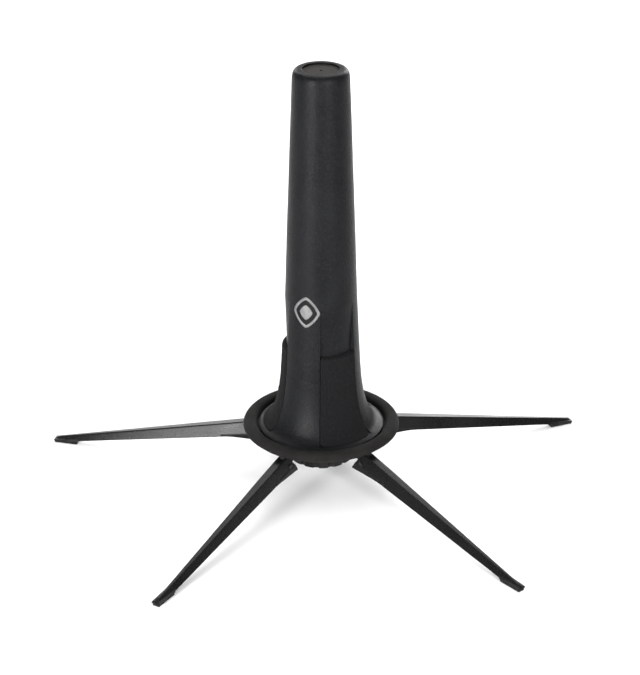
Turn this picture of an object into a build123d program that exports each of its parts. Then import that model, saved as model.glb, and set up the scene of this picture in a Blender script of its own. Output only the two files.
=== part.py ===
"""Folding five-leg stand that holds a cornet by the inside of its bell.

Millimetres, +Z up. The origin is on the floor, on the axis of the peg, and one leg points to +Y.
"""
import os
from math import cos, radians, sin, tan

from build123d import *

# Overall sizes
height = 208.8
foot_reach = 139.0
leg_count = 5
first_leg_angle = 90.0

# Peg: the ribs' side as (radius, height), the flared skirt from its rim up and the cone above it
peg_foot_z = 27.6
rim = (30.3, 29.2)
skirt_side = [rim, (28.9, 29.95), (27.2, 30.6), (25.6, 31.8), (24.2, 33.9), (23.0, 36.8), (21.9, 40.0),
              (20.9, 44.0), (20.1, 48.5), (19.4, 54.0), (19.0, 59.0), (18.6, 66.0)]
cone_side = [(18.6, 66.0), (18.0, 78.0), (17.05, 99.0), (16.0, 130.0), (15.25, 150.0), (14.5, 171.0),
             (13.3, 203.0)]
rim_direction = (-1, 0.8)
waist_direction = (-0.053, 1)
shoulder_direction = (-0.037, 1)
top_flat_r = 10.2

# Channels between the ribs, their floor, and the felt pads glued into them
pad_count = 3
first_pad_angle = -65.4
channel_width = 61.5
channel_r = 16.5
channel_side = [(28.0, 30.1), (25.9, 30.4), (24.2, 31.9), (22.7, 34.3), (21.4, 37.5), (20.2, 41.0),
                (19.1, 45.0), (18.2, 49.5), (17.3, 55.0), (16.7, 61.0), (channel_r, 68.0)]
channel_run_out = [(channel_r, 78.0), (17.2, 100.0)]
pad_width = 60.7
pad_top_z = 72.0
pad_top_bevel = (1.3, 3.0)
pad_proud = 0.3
pad_foot = (28.3, 30.35)

# Hollow of the peg, from the seat of the base plug upward
plug_r = 22.5
plug_seat_z = 30.0
skirt_hollow = [(plug_r, plug_seat_z), (19.3, 35.4), (16.4, 39.8), (14.9, 44.0), (14.2, 51.0)]
cone_hollow = [(14.2, 51.0), (14.1, 90.0), (13.5, 127.0), (12.5, 151.0), (10.6, 203.0)]
hollow_top_z = 204.6

# Cap in the top of the peg
cap_r = 8.7
cap_ledge_r = 7.6
cap_foot_z = 206.2
cap_top_z = 208.0
dimple_r = 0.7
dimple_depth = 0.5
cap_edge_round = 0.3

# Base plug inside the foot of the peg, with the threaded insert in its boss
plug_foot_z = 28.2
boss_r = 7.0
boss_top_z = 41.0
plug_rib_count = 6
plug_rib_thickness = 1.6
plug_rib_reach = 18.0
plug_rib_edge_z = 31.8
plug_rib_top_z = 38.0
insert_r = 4.4
insert_groove_depth = 0.4
insert_groove_width = 2.0

# Leg carrier under the peg
flange_r = 36.0
flange_top_z = 27.5
flange_under_z = 26.05
flange_round = 0.4
hub_r = 12.0
hub_foot_z = 18.0
lug_foot_z = 20.5
lug_knuckle = 3.2
lug_thickness = 2.4
bolt_hole_r = 3.4

# Cushion ring on the flange
ring_inner_r = 31.5
ring_outer_r = 38.0
ring_top_z = 31.0
ring_top_round = 1.7
ring_foot_round = 0.7

# Legs: a blade with a narrow crown and a wide underside, tapering to the foot
pivot_r, pivot_z = 33.4, 20.6
pin_r = 1.25
pin_length = 7.8
pin_play = 0.05
fork_gap = 2.6
fork_depth = 3.9
heel_r = 27.5
heel_angle = 58.0
crown_z_at_pivot = 25.9
crown_slope = 0.2225
root_foot_z = 16.6
root_end_r = 46.0
root_bend_round = 40.0
foot_slope = 0.178
straight_r = 50.0
root_width, tip_width = 8.2, 4.2
crown_root, crown_tip = 4.4, 1.5
crown_bevel = 0.4
foot_r = 126.6
sole_z = 1.2
foot_lip = 0.6
nose_length = 2.4
nose_drop = 0.9
sole_inset = 0.3
sole_width = 3.4

# Bolt and knob that clamp the peg on the carrier
washer_r = 8.0
washer_thickness = 1.0
knob_r = 16.2
knob_foot_z = 11.5
knob_top_z = 16.95
knob_notches = 14
notch_r = 1.6
knob_bevel = 0.5
knob_dish_r = 12.0
knob_dish_depth = 1.0
bolt_r = 3.0
bolt_play = 0.05
bolt_head_r = 5.6
bolt_head_z = 13.2
bolt_top_z = 39.0
bolt_end_bevel = 0.6

# How far one shape sinks into another that it joins, and how far a cut reaches past what it cuts
bite = 1.0
over = 5.0

os.makedirs("parts", exist_ok=True)


def save(part, label):
    """Label a finished piece and write it as parts/label.step."""
    part.label = label
    export_step(part, f"parts/{label}.step")


def radial_plane(angle):
    """Upright plane through the peg's axis: x runs outward, y runs up."""
    a = radians(angle)
    return Plane(origin=(0, 0, 0), x_dir=(cos(a), sin(a), 0), z_dir=(sin(a), -cos(a), 0))


def cross_plane(angle, r):
    """Upright plane across a leg at radius r: x runs sideways, y runs up."""
    a = radians(angle)
    out = (cos(a), sin(a), 0)
    return Plane(origin=(r * out[0], r * out[1], 0), x_dir=(-out[1], out[0], 0), z_dir=out)


def crown_z(r):
    """Height of a leg's top at radius r."""
    return crown_z_at_pivot - crown_slope * (r - pivot_r)


def underside_z(r):
    """Height of the straight part of a leg's underside at radius r."""
    return root_foot_z - foot_slope * (r - root_end_r)


# ---- Peg ----

with BuildPart() as peg_shell:
    with BuildSketch(Plane.XZ):
        with BuildLine():
            Line((0, peg_foot_z), (rim[0], peg_foot_z))
            Line((rim[0], peg_foot_z), rim)
            Spline(*skirt_side, tangents=[rim_direction, waist_direction])
            Spline(*cone_side, tangents=[waist_direction, shoulder_direction])
            Spline(cone_side[-1], (top_flat_r, height), tangents=[shoulder_direction, (-1, 0)])
            Polyline((top_flat_r, height), (0, height), (0, peg_foot_z))
        make_face()
    revolve(axis=Axis.Z)
    for index in range(pad_count):
        start = first_pad_angle + index * 360 / pad_count - channel_width / 2
        with BuildSketch(radial_plane(start)):
            with BuildLine():
                Spline(*channel_side, tangents=[(-1, 0), (0, 1)])
                Polyline(channel_side[-1], *channel_run_out, (rim[0] + over, channel_run_out[-1][1]),
                         (rim[0] + over, channel_side[0][1]), channel_side[0])
            make_face()
        revolve(axis=Axis.Z, revolution_arc=channel_width, mode=Mode.SUBTRACT)
    with BuildSketch(Plane.XZ):
        with BuildLine():
            Polyline((0, peg_foot_z), (plug_r, peg_foot_z), skirt_hollow[0])
            Spline(*skirt_hollow, tangents=[(-1, 1), (0, 1)])
            Spline(*cone_hollow, tangents=[(0, 1), shoulder_direction])
            Polyline(cone_hollow[-1], (cap_ledge_r, hollow_top_z), (cap_ledge_r, cap_foot_z),
                     (cap_r, cap_foot_z), (cap_r, height), (0, height), (0, peg_foot_z))
        make_face()
    revolve(axis=Axis.Z, mode=Mode.SUBTRACT)
save(peg_shell.part, "peg_shell")

with BuildPart() as top_cap:
    with BuildSketch(Plane.XY.offset(cap_foot_z)):
        Circle(cap_r)
    extrude(amount=cap_top_z - cap_foot_z)
    fillet(top_cap.edges().group_by(Axis.Z)[-1], radius=cap_edge_round)
    with BuildSketch(Plane.XY.offset(cap_top_z - dimple_depth)):
        Circle(dimple_r)
    extrude(amount=dimple_depth, mode=Mode.SUBTRACT)
save(top_cap.part, "top_cap")

pad_side = [pad_foot] + [(r + pad_proud, z) for r, z in skirt_side[3:]]
for index in range(pad_count):
    start = first_pad_angle + index * 360 / pad_count - pad_width / 2
    with BuildPart() as felt_pad:
        with BuildSketch(radial_plane(start)):
            with BuildLine():
                Spline(*channel_side, tangents=[(-1, 0), (0, 1)])
                Polyline(channel_side[-1], (channel_r, pad_top_z),
                         (pad_side[-1][0] - pad_top_bevel[0], pad_top_z),
                         (pad_side[-1][0], pad_top_z - pad_top_bevel[1]), pad_side[-1])
                Spline(*reversed(pad_side), tangents=[(-waist_direction[0], -1), (1, -0.3)])
                Line(pad_side[0], channel_side[0])
            make_face()
        revolve(axis=Axis.Z, revolution_arc=pad_width)
    save(felt_pad.part, f"felt_pad_{index + 1}")

with BuildPart() as base_plug:
    with BuildSketch(Plane.XY.offset(plug_foot_z)):
        Circle(plug_r)
    extrude(amount=plug_seat_z - plug_foot_z)
    with BuildSketch(Plane.XY.offset(plug_seat_z)):
        Circle(boss_r)
    extrude(amount=boss_top_z - plug_seat_z)
    for index in range(plug_rib_count):
        with BuildSketch(radial_plane(index * 360 / plug_rib_count)):
            Polygon((insert_r, plug_foot_z), (plug_rib_reach, plug_foot_z),
                    (plug_rib_reach, plug_rib_edge_z), (insert_r, plug_rib_top_z), align=None)
        extrude(amount=plug_rib_thickness / 2, both=True)
    with BuildSketch(Plane.XY.offset(plug_foot_z)):
        Circle(insert_r)
    extrude(amount=boss_top_z - plug_foot_z, mode=Mode.SUBTRACT)
save(base_plug.part, "base_plug")

with BuildPart() as threaded_insert:
    with BuildSketch(Plane.XY.offset(plug_foot_z)):
        Circle(insert_r)
        Circle(bolt_r + bolt_play, mode=Mode.SUBTRACT)
    extrude(amount=boss_top_z - plug_foot_z)
    with BuildSketch(Plane.XY.offset((plug_foot_z + boss_top_z) / 2)):
        Circle(insert_r)
        Circle(insert_r - insert_groove_depth, mode=Mode.SUBTRACT)
    extrude(amount=insert_groove_width / 2, both=True, mode=Mode.SUBTRACT)
save(threaded_insert.part, "threaded_insert")

# ---- Carrier, ring and clamping bolt ----

with BuildPart() as leg_carrier:
    with BuildSketch(Plane.XY.offset(flange_under_z)):
        Circle(flange_r)
    extrude(amount=flange_top_z - flange_under_z)
    fillet(leg_carrier.edges(), radius=flange_round)
    with BuildSketch(Plane.XY.offset(hub_foot_z)):
        Circle(hub_r)
    extrude(amount=flange_top_z - hub_foot_z)
    for index in range(leg_count):
        with BuildSketch(radial_plane(first_leg_angle + index * 360 / leg_count)):
            Polygon((hub_r - bite, flange_under_z + bite), (hub_r - bite, lug_foot_z), (pivot_r, lug_foot_z),
                    (pivot_r + lug_knuckle, pivot_z), (flange_r - bite, flange_under_z + bite), align=None)
            with Locations((pivot_r, pivot_z)):
                Circle(lug_knuckle)
                Circle(pin_r, mode=Mode.SUBTRACT)
        extrude(amount=lug_thickness / 2, both=True)
    with BuildSketch(Plane.XY.offset(hub_foot_z)):
        Circle(bolt_hole_r)
    extrude(amount=flange_top_z - hub_foot_z, mode=Mode.SUBTRACT)
save(leg_carrier.part, "leg_carrier")

with BuildPart() as bell_ring:
    with BuildSketch(Plane.XY.offset(flange_top_z)):
        Circle(ring_outer_r)
        Circle(ring_inner_r, mode=Mode.SUBTRACT)
    extrude(amount=ring_top_z - flange_top_z)
    fillet(bell_ring.edges().group_by(Axis.Z)[-1], radius=ring_top_round)
    fillet(bell_ring.edges().group_by(Axis.Z)[0].sort_by(SortBy.RADIUS)[-1], radius=ring_foot_round)
save(bell_ring.part, "bell_ring")

with BuildPart() as knob:
    with BuildSketch(Plane.XY.offset(knob_foot_z)):
        Circle(knob_r)
        with PolarLocations(knob_r + notch_r / 2, knob_notches):
            Circle(notch_r, mode=Mode.SUBTRACT)
    extrude(amount=knob_top_z - knob_foot_z)
    chamfer(knob.edges().group_by(Axis.Z)[0], length=knob_bevel)
    chamfer(knob.edges().group_by(Axis.Z)[-1], length=knob_bevel)
    with BuildSketch(Plane.XY.offset(knob_foot_z)):
        Circle(knob_dish_r)
    extrude(amount=knob_dish_depth, mode=Mode.SUBTRACT)
    with BuildSketch(Plane.XY.offset(bolt_head_z)):
        RegularPolygon(bolt_head_r, 6)
    extrude(amount=knob_top_z - bolt_head_z, mode=Mode.SUBTRACT)
save(knob.part, "knurled_knob")

with BuildPart() as knob_bolt:
    with BuildSketch(Plane.XY.offset(bolt_head_z)):
        RegularPolygon(bolt_head_r, 6)
    extrude(amount=knob_top_z - bolt_head_z)
    with BuildSketch(Plane.XY.offset(knob_top_z)):
        Circle(bolt_r)
    extrude(amount=bolt_top_z - knob_top_z)
    chamfer(knob_bolt.edges().group_by(Axis.Z)[-1], length=bolt_end_bevel)
save(knob_bolt.part, "knob_bolt")

with BuildPart() as washer:
    with BuildSketch(Plane.XY.offset(hub_foot_z - washer_thickness)):
        Circle(washer_r)
        Circle(bolt_hole_r, mode=Mode.SUBTRACT)
    extrude(amount=washer_thickness)
save(washer.part, "washer")

# ---- Legs, their pins and their soles ----

for index in range(leg_count):
    angle = first_leg_angle + index * 360 / leg_count
    leg_plane = radial_plane(angle)

    with BuildPart() as leg:
        sections = [(heel_r - bite, root_width, crown_root), (straight_r, root_width, crown_root),
                    (foot_reach, tip_width, crown_tip)]
        for r, width, crown in sections:
            with BuildSketch(cross_plane(angle, r)):
                Polygon((-width / 2, underside_z(r)), (width / 2, underside_z(r)),
                        (crown / 2, crown_z(r) - crown_bevel), (crown / 2 - crown_bevel, crown_z(r)),
                        (crown_bevel - crown / 2, crown_z(r)), (-crown / 2, crown_z(r) - crown_bevel),
                        align=None)
        loft(ruled=True)
        with BuildSketch(leg_plane) as root_block:
            Polygon((heel_r - bite, underside_z(heel_r) + bite), (heel_r - bite, root_foot_z),
                    (root_end_r, root_foot_z), (straight_r, underside_z(straight_r)),
                    (straight_r, underside_z(straight_r) + bite), align=None)
            bend = root_block.vertices().sort_by_distance((root_end_r, root_foot_z, 0))[0]
            fillet(bend, radius=root_bend_round)
        extrude(amount=root_width / 2, both=True)
        lean = (crown_z(heel_r) + over - root_foot_z) / tan(radians(heel_angle))
        with BuildSketch(leg_plane):
            Polygon((heel_r, root_foot_z), (heel_r + lean, crown_z(heel_r) + over),
                    (heel_r - over, crown_z(heel_r) + over), (heel_r - over, root_foot_z - over),
                    (heel_r, root_foot_z - over), align=None)
        extrude(amount=root_width, both=True, mode=Mode.SUBTRACT)
        with BuildSketch(leg_plane):
            with Locations((pivot_r, pivot_z)):
                Circle(pin_r + pin_play)
        extrude(amount=root_width, both=True, mode=Mode.SUBTRACT)
        with BuildSketch(leg_plane):
            Polygon((heel_r - over, 0), (pivot_r + fork_depth, 0), (pivot_r + fork_depth, height),
                    (heel_r - over, height), align=None)
        extrude(amount=fork_gap / 2, both=True, mode=Mode.SUBTRACT)
        with BuildSketch(leg_plane):
            Polygon((foot_r, sole_z), (foot_reach, sole_z), (foot_reach, sole_z + foot_lip),
                    (foot_r, underside_z(foot_r) + foot_lip), align=None)
        extrude(amount=tip_width / 2, both=True)
        with BuildSketch(leg_plane):
            Polygon((foot_r, sole_z - over), (foot_reach + over, sole_z - over), (foot_reach + over, sole_z),
                    (foot_r, sole_z), align=None)
            nose_r = foot_reach - nose_length
            nose_fall = (crown_z(nose_r) - crown_z(foot_reach) + nose_drop) / nose_length
            Polygon((nose_r, crown_z(nose_r)), (nose_r + over, crown_z(nose_r) - nose_fall * over),
                    (nose_r + over, crown_z(nose_r) + over), (nose_r, crown_z(nose_r) + over), align=None)
        extrude(amount=root_width, both=True, mode=Mode.SUBTRACT)
    save(leg.part, f"leg_{index + 1}")

    with BuildPart() as foot_pad:
        with BuildSketch(cross_plane(angle, foot_r + sole_inset)):
            Rectangle(sole_width, sole_z, align=(Align.CENTER, Align.MIN))
        extrude(amount=foot_reach - foot_r - 2 * sole_inset)
    save(foot_pad.part, f"foot_pad_{index + 1}")

    with BuildPart() as pivot_pin:
        with BuildSketch(leg_plane):
            with Locations((pivot_r, pivot_z)):
                Circle(pin_r)
        extrude(amount=pin_length / 2, both=True)
    save(pivot_pin.part, f"pivot_pin_{index + 1}")
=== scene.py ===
"""Looks of the folding five-leg cornet stand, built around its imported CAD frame.

Metres, +Z up. The origin is on the floor, on the axis of the peg, and one leg points to +Y.
"""
import math

import bpy
from mathutils import Matrix, Vector, noise


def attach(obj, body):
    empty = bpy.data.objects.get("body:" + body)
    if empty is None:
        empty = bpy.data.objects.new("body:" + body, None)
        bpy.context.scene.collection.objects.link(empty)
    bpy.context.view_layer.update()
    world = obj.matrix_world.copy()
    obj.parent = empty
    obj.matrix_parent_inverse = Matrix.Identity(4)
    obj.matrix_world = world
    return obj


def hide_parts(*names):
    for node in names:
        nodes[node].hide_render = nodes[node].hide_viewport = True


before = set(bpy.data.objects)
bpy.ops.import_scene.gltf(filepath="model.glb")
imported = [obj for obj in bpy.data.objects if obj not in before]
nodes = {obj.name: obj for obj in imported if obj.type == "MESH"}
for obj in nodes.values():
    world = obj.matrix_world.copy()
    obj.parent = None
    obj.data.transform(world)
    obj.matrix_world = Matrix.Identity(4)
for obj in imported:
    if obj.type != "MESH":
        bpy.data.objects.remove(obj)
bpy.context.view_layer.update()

MM = 0.001
LEGS = range(1, 6)
PADS = range(1, 4)

# The sides of a felt pad and of its channel in part.py as (radius, height), in millimetres
PAD_SIDE = [(28.3, 30.35), (25.9, 31.9), (24.5, 34.0), (23.3, 36.9), (22.2, 40.1), (21.2, 44.1), (20.4, 48.5),
            (19.7, 54.0), (19.3, 59.0), (18.9, 66.0), (18.6, 72.0)]
CHANNEL_SIDE = [(28.0, 30.1), (25.9, 30.4), (24.2, 31.9), (22.7, 34.3), (21.4, 37.5), (20.2, 41.0), (19.1, 45.0),
                (18.2, 49.5), (17.3, 55.0), (16.7, 61.0), (16.5, 68.0), (16.5, 72.0)]
FIRST_PAD_ANGLE = -65.4
PAD_WIDTH = 60.7


# ---- Curves and meshes ----

CURVE_STEPS = 16


def catmull(points, count):
    """Points at even lengths along a Catmull-Rom curve through 2-D points."""
    ends = [points[0]] + list(points) + [points[-1]]
    fine = []
    for a, b, c, d in zip(ends, ends[1:], ends[2:], ends[3:]):
        for step in range(CURVE_STEPS):
            t = step / CURVE_STEPS
            fine.append(tuple(
                0.5 * (2 * q + (r - p) * t + (2 * p - 5 * q + 4 * r - s) * t ** 2 + (3 * q - p - 3 * r + s) * t ** 3)
                for p, q, r, s in zip(a, b, c, d)))
    fine.append(tuple(points[-1]))
    lengths = [0.0]
    for a, b in zip(fine, fine[1:]):
        lengths.append(lengths[-1] + math.dist(a, b))
    out, k = [], 0
    for i in range(count):
        want = lengths[-1] * i / (count - 1)
        while k < len(lengths) - 2 and lengths[k + 1] < want:
            k += 1
        t = (want - lengths[k]) / max(lengths[k + 1] - lengths[k], 1e-9)
        out.append(tuple(p + (q - p) * t for p, q in zip(fine[k], fine[k + 1])))
    return out


def make_piece(name, points, faces, material, body):
    """A mesh object from points in millimetres, with its material, riding on a CAD body."""
    mesh = bpy.data.meshes.new(name)
    mesh.from_pydata([Vector(p) * MM for p in points], [], faces)
    mesh.validate()
    mesh.polygons.foreach_set("use_smooth", [True] * len(mesh.polygons))
    mesh.materials.append(material)
    piece = bpy.data.objects.new(name, mesh)
    bpy.context.scene.collection.objects.link(piece)
    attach(piece, body)
    return piece


def grid_faces(rows, columns, wrap_rows=False, wrap_columns=False):
    """Quads over a grid of points stored row by row."""
    faces = []
    for i in range(rows if wrap_rows else rows - 1):
        for j in range(columns if wrap_columns else columns - 1):
            i2, j2 = (i + 1) % rows, (j + 1) % columns
            faces.append((i * columns + j, i * columns + j2, i2 * columns + j2, i2 * columns + j))
    return faces


def polar(r, angle, z):
    """A point in millimetres from its radius, its angle in degrees and its height."""
    return Vector((r * math.cos(math.radians(angle)), r * math.sin(math.radians(angle)), z))


# ---- Materials ----

class Shader:
    """A node material being built: its tree and its Principled shader."""

    def __init__(self, name, roughness, **sockets):
        self.material = bpy.data.materials.new(name)
        self.material.use_nodes = True
        self.tree = self.material.node_tree
        self.bsdf = self.tree.nodes["Principled BSDF"]
        self.bsdf.inputs["Roughness"].default_value = roughness
        for socket, value in sockets.items():
            self.bsdf.inputs[socket.replace("_", " ")].default_value = value
        self.place = self.add("ShaderNodeTexCoord").outputs["Object"]

    def add(self, kind, **values):
        """A node with its properties set, and its inputs set or linked by name."""
        node = self.tree.nodes.new(kind)
        for key, value in values.items():
            if key in node.inputs:
                self.put(node.inputs[key], value)
            else:
                setattr(node, key, value)
        return node

    def put(self, socket, value):
        """Links an output to a socket, or sets the socket's own value."""
        if isinstance(value, bpy.types.NodeSocket):
            self.tree.links.new(value, socket)
        else:
            socket.default_value = value

    def noise(self, scale, detail=2.0, roughness=0.5, distortion=0.0):
        """Noise with about `scale` cells a metre."""
        return self.add("ShaderNodeTexNoise", Vector=self.place, Scale=scale, Detail=detail,
                        Roughness=roughness, Distortion=distortion).outputs["Fac"]

    def cells(self, scale, feature="F1"):
        """Distance to the nearest of about `scale` scattered points a metre."""
        return self.add("ShaderNodeTexVoronoi", Vector=self.place, Scale=scale, feature=feature).outputs["Distance"]

    def ramp(self, value, low, high, to_low=0.0, to_high=1.0):
        """Value stretched from low..high to to_low..to_high, and held there outside."""
        node = self.add("ShaderNodeMapRange", Value=value)
        for name, number in (("From Min", low), ("From Max", high), ("To Min", to_low), ("To Max", to_high)):
            self.put(node.inputs[name], number)
        return node.outputs["Result"]

    def sum(self, a, b, operation="ADD"):
        """Arithmetic on two values."""
        node = self.add("ShaderNodeMath", operation=operation)
        self.put(node.inputs[0], a)
        self.put(node.inputs[1], b)
        return node.outputs[0]

    def mix(self, factor, a, b):
        """A colour between a and b."""
        node = self.add("ShaderNodeMix", data_type="RGBA")
        fraction, colour_a, colour_b = (node.inputs[k] for k in (0, 6, 7))
        self.put(fraction, factor)
        for socket, value in ((colour_a, a), (colour_b, b)):
            self.put(socket, (*value, 1.0) if isinstance(value, tuple) else value)
        return node.outputs[2]

    def edge_wear(self, radius):
        """A value, 1 on edges sharper than radius and 0 on flats, and the rounded normal."""
        rounded = self.add("ShaderNodeBevel", Radius=radius, samples=6).outputs["Normal"]
        true = self.add("ShaderNodeNewGeometry").outputs["Normal"]
        dot = self.add("ShaderNodeVectorMath", operation="DOT_PRODUCT")
        self.put(dot.inputs[0], rounded)
        self.put(dot.inputs[1], true)
        return self.ramp(dot.outputs["Value"], 0.995, 0.80), rounded

    def finish(self, colour, height, depth, roughness=None, normal=None):
        """Joins colour, roughness and a bump of that depth in metres to the shader."""
        self.put(self.bsdf.inputs["Base Color"], colour)
        if roughness is not None:
            self.put(self.bsdf.inputs["Roughness"], roughness)
        bump = self.add("ShaderNodeBump", Height=height, Distance=depth, Strength=1.0)
        if normal is not None:
            self.put(bump.inputs["Normal"], normal)
        self.put(self.bsdf.inputs["Normal"], bump.outputs["Normal"])
        return self.material


def moulded_plastic(name, base, light, worn, rough, grain, depth, edge, gloss=0.10):
    """Black moulded plastic: fine spark-eroded grain, faint flow marks, dust in places and paler edges."""
    s = Shader(name, rough[0], IOR=1.5, Specular_IOR_Level=gloss)
    fine = s.noise(grain, detail=4.0, roughness=0.65)
    pits = s.cells(grain * 0.7, "SMOOTH_F1")
    flow = s.noise(45.0, detail=3.0, distortion=0.6)
    dust = s.ramp(s.noise(9000.0, detail=1.0), 0.70, 0.78)
    wear, normal = s.edge_wear(edge)
    scuffs = s.sum(wear, s.ramp(s.noise(600.0, detail=3.0), 0.35, 0.70), "MULTIPLY")
    colour = s.mix(s.ramp(flow, 0.3, 0.7), base, light)
    colour = s.mix(s.sum(s.ramp(fine, 0.45, 0.75), 0.35, "MULTIPLY"), colour, light)
    colour = s.mix(s.sum(dust, 0.12, "MULTIPLY"), colour, worn)
    colour = s.mix(s.sum(scuffs, 0.55, "MULTIPLY"), colour, worn)
    speckle = s.noise(grain * 0.6, detail=1.0)
    colour = s.mix(s.sum(s.ramp(speckle, 0.52, 0.66), 0.6, "MULTIPLY"), colour, tuple(1.7 * c for c in light))
    roughness = s.ramp(s.sum(flow, speckle), 0.75, 1.25, *rough)
    return s.finish(colour, s.sum(fine, pits), depth, roughness, normal)


def felt(name, base, light):
    """Pressed wool felt: tangled fibres, a soft nap and small lumps."""
    s = Shader(name, 1.0, Specular_IOR_Level=0.1, Sheen_Weight=0.02, Sheen_Roughness=0.5)
    tangle = s.noise(1900.0, detail=4.0, roughness=0.7, distortion=0.4)
    lumps = s.noise(500.0, detail=2.0)
    hairs = s.ramp(s.noise(4200.0, detail=3.0, roughness=0.7, distortion=1.0), 0.60, 0.70)
    colour = s.mix(s.ramp(tangle, 0.35, 0.65), base, light)
    colour = s.mix(s.sum(hairs, 0.6, "MULTIPLY"), colour, tuple(3.0 * c for c in light))
    height = s.sum(s.sum(tangle, s.sum(lumps, 0.8, "MULTIPLY")), s.sum(hairs, 0.6, "MULTIPLY"))
    return s.finish(colour, height, 0.00022)


def foam(name, base, light):
    """Closed-cell foam rubber: a matte skin of tiny open pores, with painted shade darkening each pit."""
    s = Shader(name, 0.86, Specular_IOR_Level=0.12, Sheen_Weight=0.01, Sheen_Roughness=0.6)
    pores = s.cells(1700.0)
    skin = s.noise(2400.0, detail=3.0, roughness=0.6)
    patches = s.noise(120.0, detail=2.0)
    colour = s.mix(s.ramp(patches, 0.35, 0.65), base, light)
    # Painted shade: the colour darkens towards each pore's centre, where the bump below sinks into a pit.
    colour = s.mix(s.ramp(pores, 0.25, 0.08), colour, tuple(0.45 * c for c in base))
    height = s.sum(s.ramp(pores, 0.0, 0.5), s.sum(skin, 0.7, "MULTIPLY"))
    return s.finish(colour, height, 0.00012, s.ramp(skin, 0.3, 0.7, 0.78, 0.95))


def metal(name, base, light, rough, streak):
    """Plated metal: turning marks round its length, dull spots and bright handling."""
    s = Shader(name, rough[0], Metallic=1.0)
    stretched = s.add("ShaderNodeMapping", Vector=s.place, Scale=streak).outputs["Vector"]
    lines = s.add("ShaderNodeTexNoise", Vector=stretched, Scale=1.0, Detail=3.0).outputs["Fac"]
    spots = s.noise(700.0, detail=4.0, roughness=0.7)
    colour = s.mix(s.ramp(spots, 0.35, 0.65), base, light)
    return s.finish(colour, s.sum(lines, spots), 0.00002, s.ramp(s.sum(lines, spots), 0.7, 1.3, *rough))


def printed_ink(name, base, light):
    """Silver pad printing: a thin even film with pinholes where the grain shows through."""
    s = Shader(name, 0.45, Metallic=0.2, Specular_IOR_Level=0.2)
    pinholes = s.ramp(s.noise(3200.0, detail=3.0, roughness=0.7), 0.66, 0.72)
    tone = s.noise(300.0, detail=2.0)
    colour = s.mix(pinholes, s.mix(s.ramp(tone, 0.3, 0.7), base, light), (0.05, 0.05, 0.05))
    return s.finish(colour, s.noise(1500.0, detail=3.0), 0.00002, s.ramp(tone, 0.3, 0.7, 0.38, 0.52))


peg_plastic = moulded_plastic("peg_plastic", (0.0018, 0.0020, 0.0024), (0.0052, 0.0055, 0.0062), (0.06, 0.06, 0.06),
                              (0.36, 0.48), 1900.0, 0.00009, 0.0004)
leg_plastic = moulded_plastic("leg_plastic", (0.0020, 0.0020, 0.0020), (0.0045, 0.0043, 0.0042), (0.08, 0.075, 0.07),
                              (0.25, 0.34), 2600.0, 0.00002, 0.0004, 0.15)
knob_plastic = moulded_plastic("knob_plastic", (0.0070, 0.0067, 0.0063), (0.011, 0.0105, 0.010), (0.08, 0.075, 0.07),
                               (0.40, 0.52), 2200.0, 0.00003, 0.0004)
cap_plastic = moulded_plastic("cap_plastic", (0.012, 0.0088, 0.0078), (0.017, 0.0135, 0.012), (0.08, 0.07, 0.06),
                              (0.46, 0.56), 2000.0, 0.00003, 0.0003)
plug_plastic = moulded_plastic("plug_plastic", (0.0060, 0.0060, 0.0060), (0.010, 0.010, 0.010), (0.06, 0.06, 0.06),
                               (0.45, 0.55), 1800.0, 0.00004, 0.0003)
sole_rubber = foam("sole_rubber", (0.007, 0.007, 0.007), (0.012, 0.0115, 0.011))
ring_foam = foam("ring_foam", (0.006, 0.0056, 0.0052), (0.010, 0.0095, 0.009))
pad_felt = felt("pad_felt", (0.0030, 0.0030, 0.0034), (0.0085, 0.0085, 0.0092))
zinc_steel = metal("zinc_steel", (0.50, 0.51, 0.52), (0.66, 0.66, 0.66), (0.28, 0.42), (40.0, 40.0, 9000.0))
pin_steel = metal("pin_steel", (0.035, 0.034, 0.034), (0.055, 0.053, 0.052), (0.34, 0.46), (900.0, 900.0, 900.0))
insert_brass = metal("insert_brass", (0.48, 0.33, 0.13), (0.62, 0.45, 0.20), (0.25, 0.40), (40.0, 40.0, 9000.0))

silver_print = printed_ink("silver_print", (0.11, 0.11, 0.11), (0.17, 0.17, 0.168))

finishes = {"peg_shell": peg_plastic, "top_cap": cap_plastic, "base_plug": plug_plastic,
            "threaded_insert": insert_brass, "leg_carrier": knob_plastic, "washer": zinc_steel,
            "knurled_knob": knob_plastic}
for i in LEGS:
    finishes.update({f"leg_{i}": leg_plastic, f"foot_pad_{i}": sole_rubber, f"pivot_pin_{i}": pin_steel})
for name, material in finishes.items():
    mesh = nodes[name].data
    mesh.materials.clear()
    mesh.materials.append(material)

# ---- Felt pads ----

PAD_ROWS, PAD_COLUMNS = 121, 61
CORNER = 4.0
EDGE = 0.9
GLUE = 0.02
outer_line = catmull(PAD_SIDE, PAD_ROWS)
inner_line = catmull(CHANNEL_SIDE, PAD_ROWS)
total = sum(math.dist(a, b) for a, b in zip(outer_line, outer_line[1:]))


def edge_fall(distance):
    """How full the felt is at a distance in from its cut edge: 0.25 at the edge, 1 from EDGE inward."""
    t = min(max(distance / EDGE, 0.0), 1.0)
    return 0.25 + 0.75 * math.sqrt(1 - (1 - t) ** 2)


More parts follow.
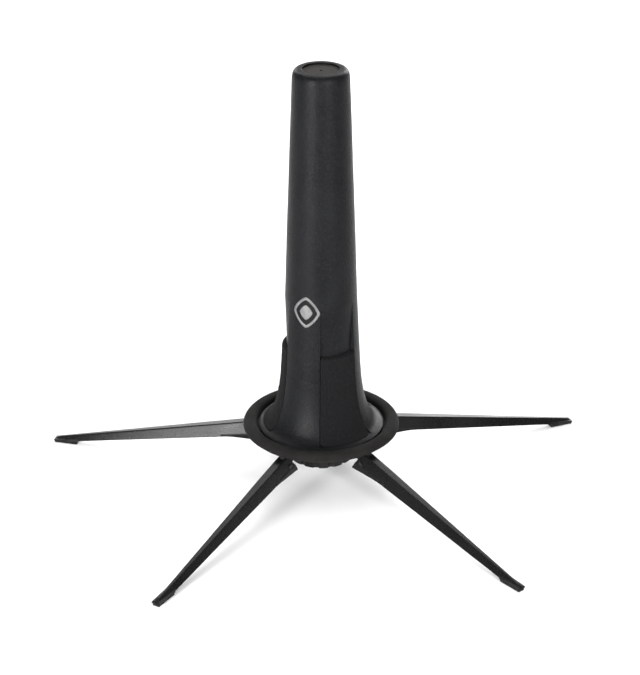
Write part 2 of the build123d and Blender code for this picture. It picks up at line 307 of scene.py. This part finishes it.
for pad in PADS:
    middle = FIRST_PAD_ANGLE + (pad - 1) * 120.0
    outer, inner = [], []
    for row, ((r_out, z_out), (r_in, z_in)) in enumerate(zip(outer_line, inner_line)):
        along = total * row / (PAD_ROWS - 1)
        half = r_out * math.radians(PAD_WIDTH / 2)
        if along < CORNER:
            half -= CORNER - math.sqrt(CORNER ** 2 - (CORNER - along) ** 2)
        for column in range(PAD_COLUMNS):
            u = column / (PAD_COLUMNS - 1) * 2 - 1
            side = half * math.sin(u * math.pi / 2)
            angle = middle + math.degrees(side / r_out)
            full = edge_fall(half - abs(side)) * edge_fall(along) * edge_fall(total - along)
            lump = 0.10 * noise.noise(Vector((angle * 0.3, z_out * 0.35, pad * 9.0)))
            fuzz = 0.07 * noise.noise(Vector((angle * 0.9, z_out * 2.6, pad * 5.0)))
            keep = full + (lump + fuzz) * full
            r = r_in + (r_out - r_in) * keep
            z = z_in + (z_out - z_in) * keep
            outer.append(polar(r, angle, z))
            inner.append(polar(r_in + GLUE, angle, z_in))
    count = PAD_ROWS * PAD_COLUMNS
    faces = grid_faces(PAD_ROWS, PAD_COLUMNS)
    faces += [tuple(k + count for k in reversed(face)) for face in faces]
    rim = [(k, k + 1) for k in range(PAD_COLUMNS - 1)]
    rim += [((k + 1) * PAD_COLUMNS - 1, (k + 2) * PAD_COLUMNS - 1) for k in range(PAD_ROWS - 1)]
    rim += [(count - 1 - k, count - 2 - k) for k in range(PAD_COLUMNS - 1)]
    rim += [((k + 1) * PAD_COLUMNS, k * PAD_COLUMNS) for k in reversed(range(PAD_ROWS - 1))]
    faces += [(b, a, a + count, b + count) for a, b in rim]
    piece = make_piece(f"felt_{pad}", outer + inner, faces, pad_felt, "peg")
    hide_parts(f"felt_pad_{pad}")

# ---- Foam ring ----

RING_PROFILE = [(31.5, 27.6), (31.6, 29.2), (32.1, 30.35), (33.2, 30.9), (34.7, 31.0), (36.2, 30.75), (37.3, 30.0),
                (37.9, 28.9), (37.75, 27.95), (37.2, 27.52), (34.6, 27.5), (32.1, 27.5)]
RING_TURNS, RING_ROUND = 540, 72
RING_REST_Z = 27.7
profile = catmull(RING_PROFILE + [RING_PROFILE[0]], RING_ROUND + 1)[:-1]
centre_r, centre_z = 34.7, 29.25
points = []
for turn in range(RING_TURNS):
    angle = 360.0 * turn / RING_TURNS
    for r, z in profile:
        place = polar(r, angle, z)
        swell = 1 + 0.012 * noise.noise(place * 0.12) + 0.006 * noise.noise(place * 1.3)
        if z < RING_REST_Z:
            swell = 1.0
        points.append(polar(centre_r + (r - centre_r) * swell, angle, centre_z + (z - centre_z) * swell))
ring = make_piece("foam_ring", points, grid_faces(RING_TURNS, len(profile), True, True), ring_foam, "carrier")
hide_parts("bell_ring")

# ---- Printed mark: a plain rounded diamond ----

MARK_ANGLE, MARK_Z = -118.5, 95.0
MARK_HALF = (6.8, 7.8)
MARK_STEPS = 120
MARK_POWER = 1.35
SUNK, RAISED = -0.1, 0.05
CORE_RINGS, CORE_STEP = 8, 0.06
RIB_R, RIB_Z, RIB_TAPER = 18.0, 78.0, 0.0452


def on_rib(x, y, lift):
    """A point on the rib at x along its width and y up from the mark's middle, raised by lift."""
    z = MARK_Z + y
    r = RIB_R - (z - RIB_Z) * RIB_TAPER + lift
    return polar(r, MARK_ANGLE + math.degrees(x / r), z)


def diamond(scale, lift):
    """A loop of points round a rounded diamond of that scale."""
    loop = []
    for step in range(MARK_STEPS):
        t = 2 * math.pi * step / MARK_STEPS
        c, s = math.cos(t), math.sin(t)
        reach = (abs(c) ** MARK_POWER + abs(s) ** MARK_POWER) ** (-1 / MARK_POWER) * scale
        loop.append(on_rib(MARK_HALF[0] * c * reach, MARK_HALF[1] * s * reach, lift))
    return loop


band_loops = [(1.0, SUNK), (1.0, RAISED), (0.90, RAISED), (0.80, RAISED), (0.80, SUNK)]
band = [point for scale, lift in band_loops for point in diamond(scale, lift)]
make_piece("mark_band", band, grid_faces(len(band_loops), MARK_STEPS, True, True), silver_print, "peg")
core = diamond(CORE_STEP * CORE_RINGS, SUNK)
core += [point for k in range(CORE_RINGS, 0, -1) for point in diamond(CORE_STEP * k, RAISED)]
core_faces = grid_faces(CORE_RINGS + 1, MARK_STEPS, False, True)
core_faces += [tuple(reversed(range(MARK_STEPS))),
               tuple(range(CORE_RINGS * MARK_STEPS, (CORE_RINGS + 1) * MARK_STEPS))]
make_piece("mark_core", core, core_faces, silver_print, "peg")

# ---- Clamping bolt: a hexagon head and an M6 thread ----

BOLT_R, BOLT_FOOT, BOLT_TOP = 3.0, 16.95, 39.0
THREAD_PITCH, THREAD_DEPTH = 1.0, 0.5
THREAD_SLOPE, THREAD_CREST = 2.6, 0.2
BOLT_END_BEVEL = 0.6
BOLT_TURN, BOLT_ROWS = 48, 221
HEX = 6
HEAD = [(0.2, 13.2), (4.9, 13.2), (5.6, 13.6), (5.6, 16.9), (2.6, 16.95)]
shank = []
for row in range(BOLT_ROWS):
    z = BOLT_FOOT + (BOLT_TOP - BOLT_FOOT) * row / (BOLT_ROWS - 1)
    for column in range(BOLT_TURN):
        phase = (z / THREAD_PITCH - column / BOLT_TURN) % 1.0
        groove = min(max(abs(phase - 0.5) * THREAD_SLOPE - THREAD_CREST, 0.0), 1.0)
        r = min(BOLT_R - THREAD_DEPTH * groove, BOLT_R - BOLT_END_BEVEL + (BOLT_TOP - z))
        shank.append(polar(r, 360.0 * column / BOLT_TURN, z))
shank_faces = grid_faces(BOLT_ROWS, BOLT_TURN, False, True)
shank_faces += [tuple(reversed(range(BOLT_TURN))),
                tuple((BOLT_ROWS - 1) * BOLT_TURN + k for k in range(BOLT_TURN))]
head = [polar(r, 360.0 / HEX * corner, z) for r, z in HEAD for corner in range(HEX)]
head_faces = [tuple(reversed(f)) for f in grid_faces(len(HEAD), HEX, False, True)]
head_faces += [tuple(range(HEX)), tuple(reversed(range(len(head) - HEX, len(head))))]
head_faces = [tuple(len(shank) + k for k in face) for face in head_faces]
bolt = make_piece("clamp_bolt", shank + head, shank_faces + head_faces, zinc_steel, "clamp_knob")
for face in bolt.data.polygons[len(shank_faces) - 2:]:
    face.use_smooth = False
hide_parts("knob_bolt")

# ---- Stage, light and camera ----

VIEW_TURN = math.radians(4.183)
AIM = Vector((0, 0, 0.08))
WALL_LIGHT, CEILING_LIGHT = 0.45, 0.45


def stage_paint(name, colour, roughness):
    """A plain matte stage material, seen from above only."""
    s = Shader(name, roughness)
    soft = s.noise(3.0, detail=2.0)
    s.put(s.bsdf.inputs["Base Color"], s.mix(soft, colour, tuple(0.99 * c for c in colour)))
    under = s.add("ShaderNodeMixShader")
    s.put(under.inputs[0], s.add("ShaderNodeNewGeometry").outputs["Backfacing"])
    s.put(under.inputs[1], s.bsdf.outputs["BSDF"])
    s.put(under.inputs[2], s.add("ShaderNodeBsdfTransparent").outputs["BSDF"])
    s.put(s.tree.nodes["Material Output"].inputs["Surface"], under.outputs["Shader"])
    return s.material


bpy.ops.mesh.primitive_plane_add(size=12.0, location=(0, 0, 0))
floor = bpy.context.object
floor.name = "floor"
floor.data.materials.append(stage_paint("stage_white", (0.95, 0.95, 0.95), 0.9))

world = bpy.data.worlds.new("studio")
bpy.context.scene.world = world
world.use_nodes = True
sky = world.node_tree
facing = sky.nodes.new("ShaderNodeSeparateXYZ")
sky.links.new(sky.nodes.new("ShaderNodeTexCoord").outputs["Generated"], facing.inputs[0])
sky.nodes["Background"].inputs["Color"].default_value = (1.0, 1.0, 1.0, 1.0)
fade = sky.nodes.new("ShaderNodeMapRange")
for socket, number in (("From Min", 0.15), ("From Max", 0.75), ("To Min", WALL_LIGHT), ("To Max", CEILING_LIGHT)):
    fade.inputs[socket].default_value = number
sky.links.new(facing.outputs["Z"], fade.inputs["Value"])
sky.links.new(fade.outputs["Result"], sky.nodes["Background"].inputs["Strength"])


def softbox(name, azimuth, elevation, distance, size, radiance):
    """An area light seen from the object at an azimuth from the camera's side, turned to the object."""
    lamp = bpy.data.lights.new(name, "AREA")
    lamp.shape = "RECTANGLE"
    lamp.size, lamp.size_y = size
    lamp.energy = radiance * math.pi * size[0] * size[1]
    holder = bpy.data.objects.new(name, lamp)
    bpy.context.scene.collection.objects.link(holder)
    a, e = math.radians(azimuth) - VIEW_TURN, math.radians(elevation)
    out = Vector((math.sin(a) * math.cos(e), -math.cos(a) * math.cos(e), math.sin(e)))
    holder.location = AIM + distance * out
    holder.rotation_euler = out.to_track_quat("Z", "Y").to_euler()
    holder.visible_camera = False


softbox("key_left", -35.0, 5.0, 1.3, (0.26, 0.60), 56.0)
softbox("key_right", 27.0, 14.0, 1.3, (0.22, 0.60), 34.0)
softbox("top", 0.0, 88.0, 1.8, (3.0, 3.0), 0.8)
softbox("back_high", 180.0, 52.0, 1.8, (1.2, 0.5), 5.0)
softbox("back_left", -161.0, 18.0, 1.8, (0.5, 0.6), 6.0)
softbox("back_right", 156.0, 18.0, 1.8, (0.8, 0.8), 9.0)

IMAGE_HEIGHT = 675
FOCAL_PX = 2058.5
PITCH, YAW, ROLL = 0.4566, -0.0006, -0.0009
DISTANCE, HEIGHT = 0.8822, 0.5077
camera = bpy.data.objects.new("camera", bpy.data.cameras.new("camera"))
bpy.context.scene.collection.objects.link(camera)
camera.data.sensor_width = 36.0
camera.data.lens = FOCAL_PX * camera.data.sensor_width / IMAGE_HEIGHT
camera.data.clip_start, camera.data.clip_end = 0.05, 30.0
camera.location = (Matrix.Rotation(-VIEW_TURN, 4, "Z") @ Vector((0, -DISTANCE, HEIGHT)))
forward = Vector((math.sin(YAW) * math.cos(PITCH), math.cos(YAW) * math.cos(PITCH), -math.sin(PITCH)))
right = Vector((math.cos(YAW), -math.sin(YAW), 0))
up = right.cross(forward)
right, up = (math.cos(ROLL) * right + math.sin(ROLL) * up, -math.sin(ROLL) * right + math.cos(ROLL) * up)
axes = Matrix((right, up, -forward)).transposed().to_4x4()
camera.rotation_euler = (Matrix.Rotation(-VIEW_TURN, 4, "Z") @ axes).to_euler()
bpy.context.scene.camera = camera
bpy.context.scene.view_settings.view_transform = "Standard"
